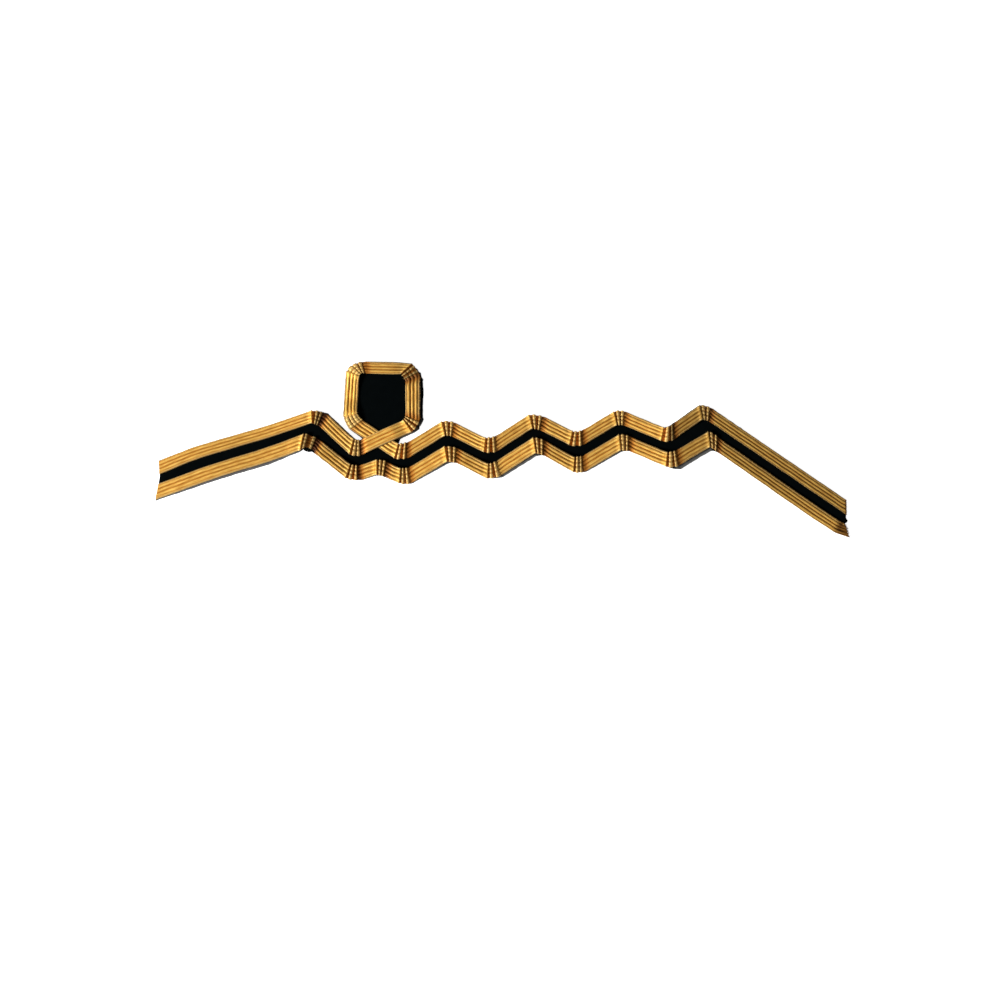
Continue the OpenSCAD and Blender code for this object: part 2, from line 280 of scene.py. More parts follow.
CORD_X = [-0.86, -0.55, -0.2, 0.2, 0.55, 0.86, 1.0]
TOP = SELVEDGE_AT + [centre + x * CORD_HALF for centre in CORD_CENTRES for x in CORD_X]
TOP = np.array(TOP + [0.912, 0.955, 1.0])
FROM_EDGE = np.minimum(TOP, 1 - TOP)
DIP = np.array([cord_dip(u) for u in TOP])
# how much brown shade the finish paints at each point: more deep in a furrow, a little on selvedges
FURROW_SHADE = np.where(FROM_EDGE < SELVEDGE_AT[-1], SELVEDGE_SHADE, DIP / DIP.max())
print("points across the top:", len(TOP), "deepest furrow in mm:", DIP.max())

# %% [markdown]
# ## Knife pleats
#
# At a turn the maker folds the lace over itself. The run on top ends in a round nose, then come
# the crests of the pleats with dark gaps between them, each a little lower, and the next run comes
# out from below the last one, deep in its shade. That dark is partly modelled and partly painted
# into the lace's colour as shade. A turn is built as a row of stations along the lace. One closed
# skin that dives into each gap looks the same as real layers from every side that can be seen,
# and can't tear. The crests stand out past the edges of the lace and the gaps draw in, which gives
# the small nubs along a turn.

# %% The nose and the crest
# besides its shape, a station carries painted light: shade in gaps and below pleats, how bright its
# colour is, and a pale highlight on crests
Station = namedtuple("Station", "line relief height base reach gap shine pale drift")

# mm past the nose, share of the drop to the floor, reach past the edges, painted gap shade, relief of
# the cords
NOSE = [
    (-0.90, 0.15, 0.02, 0.0, 0.60),
    (-0.55, 0.06, 0.06, 0.0, 0.55),
    (-0.30, 0.01, 0.14, 0.0, 0.48),
    (-0.14, 0.08, 0.22, 0.0, 0.40),
    (-0.05, 0.20, 0.26, 0.1, 0.35),
    (0.00, 0.40, 0.26, 0.4, 0.25),
    (0.03, 0.65, 0.18, 0.8, 0.2),
    (0.08, 0.90, 0.00, 1.0, 0.2),
    (0.16, 1.00, -0.12, 1.0, 0.3),
]
# half widths past the crest, share of the drop, reach, painted gap shade
CREST = [
    (-1.00, 1.00, -0.12, 1.0),
    (-0.93, 0.80, 0.00, 0.9),
    (-0.82, 0.42, 0.14, 0.5),
    (-0.62, 0.14, 0.26, 0.1),
    (-0.30, 0.03, 0.32, 0.0),
    (0.05, 0.00, 0.34, 0.0),
    (0.40, 0.05, 0.32, 0.0),
    (0.68, 0.18, 0.28, 0.1),
    (0.84, 0.42, 0.20, 0.5),
    (0.93, 0.75, 0.08, 0.9),
    (1.00, 1.00, -0.12, 1.0),
]
print("stations in a nose:", len(NOSE), "and in a crest:", len(CREST))

# %% [markdown]
# ## The place of a pleat
#
# Places in a turn are measured from the fold line of the run on top. The line across the lace
# swings from there to the other fold line, and beyond them it goes on along the run. At the first
# peak of the lower lace the lower edge is gathered in.

# %% Lines across a turn
WIDER = 0.35
PINCHED = {LOWER[FIRST_PEAK]: 1.5}


def crest_half(crest, gap):
    """Half the width of a crest: beside a shallow gap its face is wider."""
    return crest.half + WIDER * max(0.0, 1 - gap)


def fold_places(row):
    """Where the nose of the run on top and the last crest's foot lie, in mm past the fold line."""
    first, last = row.crests[0], row.crests[-1]
    return first.place - crest_half(first, first.gap) - first.before, last.place + last.half


def width_of_turn(rows, i):
    a, b = fold_line(rows, i, False), fold_line(rows, i, True)
    return float(np.linalg.norm(a.mean(axis=0) - b.mean(axis=0)))


def turn_line(rows, i, d):
    """The line across the lace, d mm past the fold line of the run on top."""
    row = rows[i]
    a, b = fold_line(rows, i, False), fold_line(rows, i, True)
    way_a, way_b = way(rows, i - 1), way(rows, i)
    if row.over < 0:
        a, b, way_a, way_b = b, a, -way_b, -way_a
    width = width_of_turn(rows, i)
    if d < 0:
        return a + way_a * d
    if d > width:
        return b + way_b * (d - width)
    line = a + (b - a) * (d / width) + bulge_of(rows, i) * bow(d / width)
    line[1] += unit(line[0] - line[1]) * PINCHED.get(row, 0.0) * math.sqrt(bow(d / width))
    return line


print("the first valley's turn is", round(width_of_turn(UPPER, VALLEY_1), 1), "mm wide")

# %% [markdown]
# ## One pleated turn
#
# The pile is highest at the nose and steps down from crest to crest. No two crests come out alike,
# so each gets its own small error in height and in how far it stands out. Behind the last one the
# lower run starts low, with painted shade. The nose is painted a little brighter, and each crest is
# painted to its own brightness with a pale painted highlight.

# %% The stations of a turn
PILE, UNEVEN = 1.15, 0.08
GAP_LEAST, GAP_DEPTH = 0.2, 0.85
# painted light: a brighter nose, each crest's painted brightness and its pale painted highlight
NOSE_SHINE = 1.08
CREST_RELIEF, CREST_TONE, CREST_HIGHLIGHT = 0.60, 0.79, 0.38
CREST_SHIFT, PROUD = 0.1, (0.75, 1.2)

EMERGE, EMERGE_LOW = 5.0, 0.90
FOOT_RELIEF, FOOT_TUCK, FOOT_LENGTH = 0.5, -0.10, 1.2
FOOT_START, FOOT_STEP, FOOT_END = 0.25, 0.3, 0.1
# shade painted on the lower run where it comes out, by mm past the last crest's foot
SHADE_AT = [0, 0.6, 1.15, 1.75, 2.3, 2.95, 3.6, 4.3]
SHADE = [0.88, 0.92, 0.94, 0.74, 0.52, 0.26, 0.08, 0]


def emerging(row, past):
    """Height, painted shade and relief of the lower run, past mm from the last crest's foot."""
    height = EMERGE_LOW + (LACE_T - EMERGE_LOW) * float(smooth(past / EMERGE))
    shade = row.under * float(np.interp(past, SHADE_AT, SHADE))
    return height, shade, FOOT_RELIEF + (1 - FOOT_RELIEF) * float(smooth(past / FOOT_LENGTH))


def floor_below(high, gap):
    return high - GAP_LEAST - GAP_DEPTH * min(gap, 1.0)


def turn_stations(rows, i, base, dice):
    """The stations of one pleated turn, in the lace's own order."""
    row = rows[i]
    nose_at, foot = fold_places(row)
    tone_a, tone_b = (rows[i - 1].tone, row.tone)[:: row.over]
    made = []

    def add(d, height, relief, reach, gap, shine, pale=0.0):
        line = turn_line(rows, i, d)
        made.append(Station(line, relief, height, base, reach, gap, shine, pale, 0.0))

    top, first_gap = LACE_T + PILE, row.crests[0].gap
    low = floor_below(top, first_gap)
    for past, drop, reach, gap, relief in NOSE:
        height = top + (low - top) * drop
        add(nose_at + past, height, relief, reach, gap * first_gap, NOSE_SHINE * tone_a)
    count = len(row.crests)
    gaps = [crest.gap for crest in row.crests] + [row.under]
    for k, crest in enumerate(row.crests):
        high = LACE_T + PILE * (1 - (k + 1) / (count + 1)) + dice.uniform(-UNEVEN, UNEVEN)
        proud = dice.uniform(*PROUD)
        for share, drop, reach, gap in CREST:
            beside = gaps[k] if share < 0 else gaps[k + 1]
            low = EMERGE_LOW if k == count - 1 and share > 0 else floor_below(high, beside)
            d = crest.place + CREST_SHIFT + share * crest_half(crest, beside)
            height, shine = high + (low - high) * drop, CREST_TONE * crest.shine
            add(d, height, CREST_RELIEF, reach * proud, gap * beside, shine, CREST_HIGHLIGHT)
    d = foot + FOOT_START
    while d < width_of_turn(rows, i) - FOOT_END:
        height, shade, relief = emerging(row, d - foot)
        tuck = FOOT_TUCK * (1 - float(smooth((d - foot) / FOOT_LENGTH)))
        add(d, height, relief, tuck, shade, tone_b)
        d += FOOT_STEP
    return made[:: row.over]


print("a turn is", LACE_T + PILE, "mm high at its nose")

# %% [markdown]
# ## Straight runs
#
# Between two turns the lace lies flat, but never quite: it rises onto its pile of pleats at one
# end, gently at first, and comes out from below the last crest at the other. Its colour is painted
# brighter right before the nose, darker where the rise turns it away from the light, and darker
# still in the shade of a pile.

# %% Height and light near the ends of a run
CLIMB_LENGTH, STEEP_LENGTH = 6.5, 1.2
NOSE_RISE, NOSE_ROOM, FOOT_ROOM = 0.15, 1.1, 0.15
# painted light: how bright a run's colour is painted at some distances from its fold line, in mm
LIGHT_AT = [0.6, 1.2, 1.8, 2.4, 3.0, 3.6, 4.2, 5.0, 6.0, 7.0]
NOSE_LIGHT = [1.10, 1.05, 0.88, 0.84, 0.82, 0.83, 0.84, 0.85, 0.90, 1.0]
FOOT_LIGHT = [0.72, 0.72, 0.77, 0.84, 0.89, 0.94, 0.97, 1.0, 1.0, 1.0]
FOOT_SHIFT = 0.6


def climb(far):
    """How much higher the run lies on its way up to the nose, far mm before its end."""
    gentle, steep = smooth(1 - far / CLIMB_LENGTH), smooth(1 - far / STEEP_LENGTH)
    return (PILE - NOSE_RISE) * float(0.8 * gentle + 0.2 * steep)


def run_limits(rows, i, starts):
    """How far the run keeps from its fold line at turn i, and the rest it has below the pleats."""
    row = rows[i]
    if not row.crests:
        return 0.0, None
    nose_at, foot = fold_places(row)
    if (row.over < 0) == starts:
        return max(0.0, NOSE_ROOM - nose_at), None
    return FOOT_ROOM, width_of_turn(rows, i) - foot


print("rise of a run 6, 3 and 0 mm before its nose:", [round(climb(d), 2) for d in (6, 3, 0)])

# %% [markdown]
# ## The stations of a run
#
# A run may pass through a plain bend, so its edges are smooth curves through the fold lines. Its
# width, its place and its height wander a little. The cords have also slipped sideways between
# their selvedges, one way on rising runs and the other way on falling ones.

# %% The runs between the turns
RUN_STEP, FEWEST_STEPS = 0.55, 8
FLATTEN, FLATTER = 2.4, 0.40
RISING_DRIFT, FALLING_DRIFT = -0.025, 0.045
WIDTH_WANDER, HEIGHT_WANDER, WANDER_FADE = 0.012, 0.03, 3.0
SLOW_WANDER, QUICK_WANDER = 0.05, 0.025


def edge_curve(lines):
    """A smooth way through fold lines: gives the line at a distance, and where each one lies."""
    middles = np.array([line.mean(axis=0) for line in lines])
    at = np.concatenate([[0.0], np.cumsum(np.linalg.norm(np.diff(middles, axis=0), axis=1))])
    slopes = []
    for k in range(len(lines)):
        lo, hi = max(k - 1, 0), min(k + 1, len(lines) - 1)
        slopes.append((lines[hi] - lines[lo]) / (at[hi] - at[lo]))

    def find(s):
        k = max(min(int(np.searchsorted(at, s, side="right")) - 1, len(lines) - 2), 0)
        h = at[k + 1] - at[k]
        t = (s - at[k]) / h
        h00, h10 = 2 * t**3 - 3 * t**2 + 1, t**3 - 2 * t**2 + t
        h01, h11 = -2 * t**3 + 3 * t**2, t**3 - t**2
        return h00 * lines[k] + h10 * h * slopes[k] + h01 * lines[k + 1] + h11 * h * slopes[k + 1]

    return find, at


def run_stations(rows, first, last, base, lift, seed):
    """The stations of the run from row first to row last, both of them ends or pleated turns."""
    lines = [fold_line(rows, k, k == first) for k in range(first, last + 1)]
    find, at = edge_curve(lines)
    centres, tones = (at[:-1] + at[1:]) / 2, [row.tone for row in rows[first:last]]
    rising = lines[-1].mean(axis=0)[1] > lines[0].mean(axis=0)[1]
    begin, below_first = run_limits(rows, first, True)
    end, below_last = run_limits(rows, last, False)
    length = at[-1]
    span = length - begin - end
    count = max(int(span / RUN_STEP), FEWEST_STEPS)
    made = []
    for n in range(count + 1):
        s = begin + span * n / count
        line = find(s)
        middle, half = line.mean(axis=0), (line[0] - line[1]) / 2
        fade = smooth(min(s, length - s) / WANDER_FADE)
        half = half * (1 + fade * WIDTH_WANDER * waver(s / 4.0, seed + 0.5))
        aside = SLOW_WANDER * waver(s / 9.0, seed) + QUICK_WANDER * waver(s / 2.2, seed + 3)
        middle = middle + unit(half) * fade * aside
        line = np.array([middle + half, middle - half])
        height = LACE_T + HEIGHT_WANDER * waver(s / 5.0, seed + 9)
        relief, shade, shine = 1.0, 0.0, float(np.interp(s, centres, tones))
        ends = (rows[first], s, below_first, begin), (rows[last], length - s, below_last, end)
        for row, far, below, room in ends:
            if not row.crests:
                continue
            if below is None:
                height += climb(far - room)
                shine *= float(np.interp(far, LIGHT_AT, NOSE_LIGHT))
                relief *= 1 - FLATTER * float(smooth(1 - far / FLATTEN))
            else:
                low, dark, flat = emerging(row, below + far)
                shine *= float(np.interp(below + far - FOOT_SHIFT, LIGHT_AT, FOOT_LIGHT))
                height, shade, relief = height + low - LACE_T, max(shade, dark), relief * flat
        up = base + (lift(s / length) if lift else 0.0)
        drift = float(fade * (RISING_DRIFT if rising else FALLING_DRIFT))
        made.append(Station(line, relief, float(height), up, 0.0, shade, shine, 0.0, drift))
    return made


print("a run has a station about every", RUN_STEP, "mm")

# %% [markdown]
# ## Crossing
#
# The run from the first valley climbs over the run that leaves the loop. The lower run is pressed a
# little there, and the upper one makes a long low hump over it.

# %% The hump, and all stations in a row
CROSS_LIFT = 1.32
HUMP = [(0.00, 0.0), (0.14, 1.0), (0.66, 1.0), (0.92, 0.0)]


def hump(share):
    for (a, low), (b, high) in zip(HUMP, HUMP[1:]):
        if share <= b:
            return CROSS_LIFT * float(low + (high - low) * smooth((share - a) / (b - a)))
    return 0.0


def lace_stations(rows, crossing, seed):
    """All stations of a lace, and 1 for each one in a run or 0 for each one in a turn."""
    dice = random.Random(seed)
    base = CLOTH_T + LACE_GAP
    stops = [i for i, row in enumerate(rows) if row.crests or i in (0, len(rows) - 1)]
    made, on_run = [], []
    for first, last in zip(stops, stops[1:]):
        if rows[first].crests:
            made += turn_stations(rows, first, base, dice)
            on_run += [0.0] * (len(made) - len(on_run))
        lift = hump if first == crossing else None
        made += run_stations(rows, first, last, base, lift, seed + first)
        on_run += [1.0] * (len(made) - len(on_run))
    return made, on_run


upper_stations, upper_on_run = lace_stations(UPPER, VALLEY_1, 11)
lower_stations, lower_on_run = lace_stations(LOWER, None, 47)
print("stations:", len(upper_stations), "upper and", len(lower_stations), "lower")

# %% [markdown]
# ## From stations to rings
#
# Each station becomes a ring: over the cords from left to right, round the selvedge, back under
# the lace, and up the other selvedge. Slipped cords move in it, while the selvedges keep their
# place. The ring also says how deep in a furrow and how near the edge each point lies: the finish
# paints brown shade in the furrows, the duller selvedge colour near the edges and dark shade on the
# rims and sides. The outer edge is in the open, so less of that is painted on it than on the one
# beside the dark stripe. Crests get a pale painted highlight all over.

# %% Rings
# mm past the edge, level (0 to 1 round the selvedge, 1 to 2 down to the cloth), edge tone: how
# much selvedge colour and painted rim shade go there
SIDE = [(0.05, 0.45, 1.0), (0.00, 1.0, 1.0), (-0.10, 1.5, 0.9), (-0.04, 2.0, 0.8)]
UNDER = [0.75, 0.5, 0.25]
# edge tones of the top points near each edge; the side in the open gets less painted rim shade
LEFT_TONES, RIGHT_TONES, OPEN_EDGE = (1.0, 0.6, 0.3), (0.3, 0.7, 1.0), 0.6
SELVEDGE_BEAD, LEAST_EDGE = 0.30, 0.1
DRIFT_SHAPE = np.interp(FROM_EDGE, [0.0, 0.125, 0.3], [0.0, 0.9, 1.0])
RING = len(TOP) + 2 * len(SIDE) + len(UNDER)


def side_of_ring(s, side, edge_height, width, light):
    """The points round one selvedge and down to the cloth, with their edge tones."""
    sign = 1 if side else -1
    tall = max(edge_height, LEAST_EDGE)
    bead = min(SELVEDGE_BEAD, 0.5 * tall)
    made = []
    for out, level, tone in SIDE:
        share = side + sign * (out + s.reach * (2 - level) / 2) / width
        height = tall - bead * level if level <= 1 else (tall - bead) * (2 - level)
        p = s.line[0] * (1 - share) + s.line[1] * share
        made.append((p[0], p[1], s.base + height, tone * light))
    return made


def ring_of(s, outer):
    """Points of one ring, with painted furrow shade and edge tone; outer is the side in the open."""
    width = np.linalg.norm(s.line[0] - s.line[1])
    across = 0.5 + (TOP - 0.5) * (1 + 2 * s.reach / width) + s.drift * DRIFT_SHAPE
    plan = s.line[0] * (1 - across[:, None]) + s.line[1] * across[:, None]
    z = s.base + s.height - DIP * s.relief
    light = [1.0, 1.0]
    light[outer] = OPEN_EDGE
    edge = np.zeros(len(TOP))
    edge[:3], edge[-3:] = np.multiply(LEFT_TONES, light[0]), np.multiply(RIGHT_TONES, light[1])
    left, right = (side_of_ring(s, k, z[-k] - s.base, width, light[k]) for k in (0, 1))
    under = [tuple(s.line[0] * (1 - u) + s.line[1] * u) + (s.base, 0.0) for u in UNDER]
    rest = np.array(right + under + left[::-1])
    furrow = np.concatenate([FURROW_SHADE * s.relief, np.zeros(len(rest))])
    edge = np.concatenate([np.maximum(edge, s.pale), rest[:, 3]])
    return np.vstack([np.column_stack([plan, z]), rest[:, :3]]), furrow, edge


print("points in a ring:", RING)

# %% [markdown]
# ## A closed skin
#
# Rings of the same length are joined by quads, and both ends are capped. The same helpers serve
# the laces and, further down, every thread.

# %% Faces, pieces and their values
def skin(rings, points, turned_round=False):
    """Faces over rings of points, with a cap at both ends."""
    faces = []
    for a in range((rings - 1) * points):
        b = a + 1 if (a + 1) % points else a + 1 - points
        c, d = b + points, a + points
        faces.append((a, d, c, b) if turned_round else (a, b, c, d))
    first, last = tuple(range(points)), tuple(range((rings - 1) * points, rings * points))
    return faces + ([first, last[::-1]] if turned_round else [first[::-1], last])


def add_attribute(mesh, name, values):
    attribute = mesh.attributes.new(name, "FLOAT", "POINT")
    attribute.data.foreach_set("value", np.asarray(values, dtype=np.float32))


def mesh_piece(name, points, faces):
    mesh = bpy.data.meshes.new(name)
    mesh.from_pydata([tuple(p) for p in points], [], faces)
    mesh.update()
    piece = bpy.data.objects.new(name, mesh)
    bpy.context.collection.objects.link(piece)
    return piece


def only(piece):
    """Deselects all, then makes the piece the selected and active one."""
    bpy.ops.object.select_all(action="DESELECT")
    piece.select_set(True)
    bpy.context.view_layer.objects.active = piece


print("faces between two rings, and their caps:", len(skin(2, RING)))

# %% [markdown]
# ## The two laces
#
# A UV map in millimetres, across and along, lets the finish lay its thread square to the lace on
# every run. On the runs each cord also rises and falls a little by itself. At the right end the
# gold is worn off, for a millimetre on the upper lace and for several on the lower one.

# %% Laces from their rings
CORD_WANDER, SIDE_UV = 0.035, 0.3
SMOOTH_BELOW = math.radians(75)


def add_uv(mesh, along):
    """The UV map: mm across and round the ring, and mm along the lace."""
    round_ring = LACE_W + SIDE_UV * np.arange(1, RING - len(TOP) + 2)
    across = np.concatenate([TOP * LACE_W, round_ring])
    coords = np.zeros((len(mesh.loops), 2), dtype=np.float32)
    n, j = np.divmod(np.arange((len(along) - 1) * RING), RING)
    for corner, (ring, point) in enumerate([(n, j), (n, j + 1), (n + 1, j + 1), (n + 1, j)]):
        coords[corner : 4 * len(n) : 4] = np.column_stack([across[point], along[ring]])
    mesh.uv_layers.new(name="lace").data.foreach_set("uv", coords.ravel())


def lace_piece(name, stations, on_run, outer, seed, worn):
    """A lace as one mesh; worn says how far before its end the gold starts to go, and how fast."""
    rings, furrows, edges = (np.array(part) for part in zip(*(ring_of(s, outer) for s in stations)))
    middle = rings[:, len(TOP) // 2]
    along = np.concatenate([[0.0], np.cumsum(np.linalg.norm(np.diff(middle, axis=0), axis=1))])
    for n, free in enumerate(on_run):
        for j, u in enumerate(TOP):
            cord = int(u * 4 + 0.5)
            rings[n, j, 2] += free * CORD_WANDER * waver(along[n] / 4.5, seed + 5 * cord)
    piece = mesh_piece(name, rings.reshape(-1, 3) * MM, skin(len(rings), RING))
    mesh = piece.data
    add_uv(mesh, along)
    add_attribute(mesh, "furrow", furrows.ravel())
    add_attribute(mesh, "edge", edges.ravel())
    gone = smooth((along - along[-1] + worn[0]) / worn[1])
    gaps, shines = [s.gap for s in stations], [s.shine for s in stations]
    for value, of_rings in (("gap", gaps), ("tone", shines), ("worn", gone)):
        add_attribute(mesh, value, np.repeat(of_rings, RING))
    only(piece)
    bpy.ops.object.shade_smooth_by_angle(angle=SMOOTH_BELOW)
    print(name, "is", round(along[-1]), "mm of lace in", len(mesh.polygons), "faces")
    return piece


upper_lace = lace_piece("upper_gold_lace", upper_stations, upper_on_run, 0, 100, (1.2, 0.7))
lower_lace = lace_piece("lower_gold_lace", lower_stations, lower_on_run, 1, 200, (7.5, 4.0))

# %% [markdown]
# ## The ground cloth
#
# The ground is milled wool cloth, cut by hand along the laces with sharp scissors. It shows between
# the laces, inside the loop and as a thin margin. Its outline follows the fold lines, and where no
# margin is seen the cut stops just short of the lace. At three places the scissors left small
# corners, which are given point by point, and two notches run in beside the crossing.

# %% The cut outline
NOTCH_LEFT, NOTCH_RIGHT, NOTCH_START = 0.6, 2.2, 0.5
HIDDEN_MARGIN, LEAST_SHOWN = -0.06, 0.15
TONGUE = [(154.9, -30.6), (155.1, -31.2), (155.7, -32.0), (155.2, -32.8)]
LOOP_SNIPS = [
    (-38.8, 36.7), (-38.0, 36.2), (-37.6, 35.3), (-36.6, 34.5), (-36.4, 33.0), (-35.5, 31.6),
    (-35.8, 30.7), (-35.4, 26.3), (-35.7, 19.8), (-35.7, 14.5), (-35.4, 13.7), (-36.0, 12.1),
    (-36.6, 10.9), (-37.2, 10.3), (-37.3, 9.2), (-38.9, 8.0), (-40.5, 7.2),
]
SNIPPED = 7  # corners of the loop that the snips take the place of
PEAK_SNIPS = [(-85.3, -1.2), (-85.9, -0.9), (-87.2, -1.2), (-88.7, -0.8), (-89.6, 0.3), (-90.9, -0.9)]


def margin(show):
    return show if show > LEAST_SHOWN else HIDDEN_MARGIN


def cloth_edge(rows, first, last, side):
    """Corners of the cut beside rows first to last."""
    made = []
    for i in range(first, last + 1):
        a = fold_line(rows, i, False, margin(rows[i].show_a))[side]
        b = fold_line(rows, i, True, margin(rows[i].show_b))[side]
        for t in (0, 1 / 3, 2 / 3, 1) if rows[i].crests else (0,):
            made.append(a + (b - a) * t + bow(t) * bulge_of(rows, i))
    return made


def meeting(p, v, q, w):
    """Where the line through p along v meets the line through q along w."""
    d = q - p
    return p + v * (d[0] * w[1] - d[1] * w[0]) / (v[0] * w[1] - v[1] * w[0])


def notches():
    """Corners of the two notches beside the crossing."""
    over_way, under_way = way(UPPER, VALLEY_1), way(UPPER, LOOP_LOW_LEFT)
    start = fold_line(UPPER, VALLEY_1, True)[0]
    under = fold_line(UPPER, LOOP_LOW_LEFT, True, UPPER[LOOP_LOW_LEFT].show_b)[1]
    tip = meeting(under, under_way, start, over_way) - np.array([NOTCH_LEFT, 0])
    under = fold_line(UPPER, VALLEY_2, False, NOTCH_RIGHT)[0]
    over = fold_line(UPPER, LOOP_LOW_RIGHT, False, UPPER[LOOP_LOW_RIGHT].show_a)[1]
    return [start + over_way * NOTCH_START, tip], [meeting(under, under_way, over, over_way)]


ends = len(UPPER) - 1, len(LOWER) - 1
left_notch, right_notch = notches()
outline = cloth_edge(UPPER, 0, VALLEY_1, 0) + left_notch
outline += cloth_edge(UPPER, LOOP_LOW_RIGHT, LOOP_LOW_LEFT, 1)[SNIPPED:][::-1] + LOOP_SNIPS
outline += right_notch + cloth_edge(UPPER, VALLEY_2, ends[0], 0)
outline += [fold_line(UPPER, ends[0], True)[1]] + TONGUE + [fold_line(LOWER, ends[1], True)[0]]
outline += cloth_edge(LOWER, FIRST_PEAK + 1, ends[1], 1)[::-1] + PEAK_SNIPS
outline += cloth_edge(LOWER, 0, FIRST_PEAK - 1, 1)[::-1]
outline += [fold_line(LOWER, 0, True)[0], fold_line(UPPER, 0, True)[1]]
outline = [np.array(corner) for corner in outline]
print("corners of the cut:", len(outline))

# %% [markdown]
# ## A cut by hand
#
# Scissors don't cut a ruler's line. The outline is walked in short steps, and each step goes a
# little in or out: a slow drift from the hand and a quicker one from the snips.

# %% The outline in short wandering steps
CUT_STEP = 0.9
HAND_DRIFT, SNIP_DRIFT = 0.07, 0.04


def walked(corners, step):
    """The closed outline in steps of about the given length."""
    made = []
    for a, b in zip(corners, corners[1:] + corners[:1]):
        length = np.linalg.norm(b - a)
        if length < 1e-6:
            continue
        count = max(int(round(length / step)), 1)
        made += [a + (b - a) * n / count for n in range(count)]
    return np.array(made)


def outward(loop):
    """Unit vectors out of a loop that runs clockwise."""
    ahead = np.roll(loop, -1, axis=0) - np.roll(loop, 1, axis=0)
    ahead /= np.linalg.norm(ahead, axis=1)[:, None]
    return np.column_stack([-ahead[:, 1], ahead[:, 0]])


cut = walked(outline, CUT_STEP)
ragged = [HAND_DRIFT * waver(n * 0.45, 2) + SNIP_DRIFT * waver(n * 1.7, 5) for n in range(len(cut))]
cut = cut + outward(cut) * np.array(ragged)[:, None]
way_out = outward(cut)

# %% [markdown]
# ## The face of the cloth
#
# The sheet is filled with small triangles so that its face can undulate. Its points stand in a
# loose grid, shaken a little so that no rows show, and keep clear of the cut.

# %% The sheet in triangles
FACE_STEP, FACE_SHAKE, EDGE_IN = 1.9, 0.25, 0.3


def inside(points, loop):
    """Which points lie inside the closed loop."""
    x, y = points[:, 0], points[:, 1]
    hit = np.zeros(len(points), dtype=bool)
    for (x0, y0), (x1, y1) in zip(loop, np.roll(loop, -1, axis=0)):
        crosses = (y0 > y) != (y1 > y)
        if crosses.any():
            hit ^= crosses & (x < x0 + (y - y0) * (x1 - x0) / (y1 - y0))
    return hit


def near_loop(points, loop, reach):
    """Which points are closer to the loop's own points than reach."""
    near = np.zeros(len(points), dtype=bool)
    for p in loop:
        near |= np.hypot(points[:, 0] - p[0], points[:, 1] - p[1]) < reach
    return near


inner = cut - way_out * EDGE_IN
lo, hi = cut.min(axis=0), cut.max(axis=0)
grid = []
for r, y in enumerate(np.arange(lo[1], hi[1], FACE_STEP * math.sqrt(3) / 2)):
    shift = FACE_STEP / 2 if r % 2 else 0.0
    grid += [(x + shift, y) for x in np.arange(lo[0], hi[0], FACE_STEP)]
grid = np.array(grid)
grid = grid + np.random.default_rng(5).uniform(-FACE_SHAKE, FACE_SHAKE, grid.shape)
grid = grid[inside(grid, inner)]
grid = grid[~near_loop(grid, inner, CUT_STEP)]
flat_points = [Vector(p) for p in np.vstack([inner, grid])]
filled = geometry.delaunay_2d_cdt(flat_points, [], [list(range(len(inner)))], 1, 1e-7)
flat = np.array([tuple(p) for p in filled[0]])
print("points on one face of the cloth:", len(flat), "triangles:", len(filled[2]))

# %% [markdown]
# ## Thickness and rounded edge
#
# The cloth is a closed body: two faces and between them a rim of three rows of quads, which rounds
# the edge. The face only ever dips below its level, so that it can't rise into the lace.

# %% Two faces and a rim
UNDULATION, FACE_SINK = 0.03, 0.02
RIM_HIGH, RIM_LOW = 0.78, 0.22


def ripple(x, y):
    broad = noise.noise(Vector((x / 9.0, y / 9.0, 1.0)))
    return UNDULATION * (broad + 0.5 * noise.noise(Vector((x / 2.5, y / 2.5, 4.0))))


triangles = []
for tri in filled[2]:
    a, b, c = (flat[k] for k in tri)
    area = (b[0] - a[0]) * (c[1] - a[1]) - (b[1] - a[1]) * (c[0] - a[0])
    triangles.append(tuple(tri) if area > 0 else tuple(tri[::-1]))
n_flat, n_rim = len(flat), len(cut)
levels = [(flat, [CLOTH_T - FACE_SINK + min(0.0, ripple(x, y)) for x, y in flat])]
levels += [(flat, [max(0.0, ripple(x + 50, y)) for x, y in flat])]
levels += [(cut, np.full(n_rim, CLOTH_T * share)) for share in (RIM_HIGH, RIM_LOW)]
points = np.vstack([np.column_stack(level) for level in levels]) * MM
faces = triangles + [tuple(k + n_flat for k in tri[::-1]) for tri in triangles]
high, low = 2 * n_flat, 2 * n_flat + n_rim
for n in range(n_rim):
    m = (n + 1) % n_rim
    for upper, lower in ((0, high), (high, low), (low, n_flat)):
        faces.append((upper + n, upper + m, lower + m, lower + n))
ground = mesh_piece("black_ground_cloth", points, faces)
only(ground)
bpy.ops.object.mode_set(mode="EDIT")
bpy.ops.mesh.select_all(action="SELECT")
bpy.ops.mesh.normals_make_consistent(inside=False)
bpy.ops.object.mode_set(mode="OBJECT")
bpy.ops.object.shade_smooth_by_angle(angle=math.radians(60))
print("ground cloth:", len(ground.data.polygons), "faces")

# %% [markdown]
# ## The painted shadow along the cut
#
# Where the cut faces down and to the right, a grey shadow is painted on the cloth. It is full along
# the straight margins, runs out round the swelling corners below the valleys, and fades inward
# under the lace. Two places are kept clean and black. The sides of every cut get a little grey too.

# %% How much painted shadow each point of the cloth gets
# the way the painted shadow falls: down and to the right
SHADOW_WAY = unit(np.array([0.5, -0.866]))
SHADOW_IN, SHADOW_REACH = 0.55, 2.0
RIM_GREY = 0.095
CORNER_STEPS, CORNER_TURN = 3, 0.05
CLEAN_PLACES = [(-87.6, -0.8, 3.0), (155.2, -31.8, 3.0)]

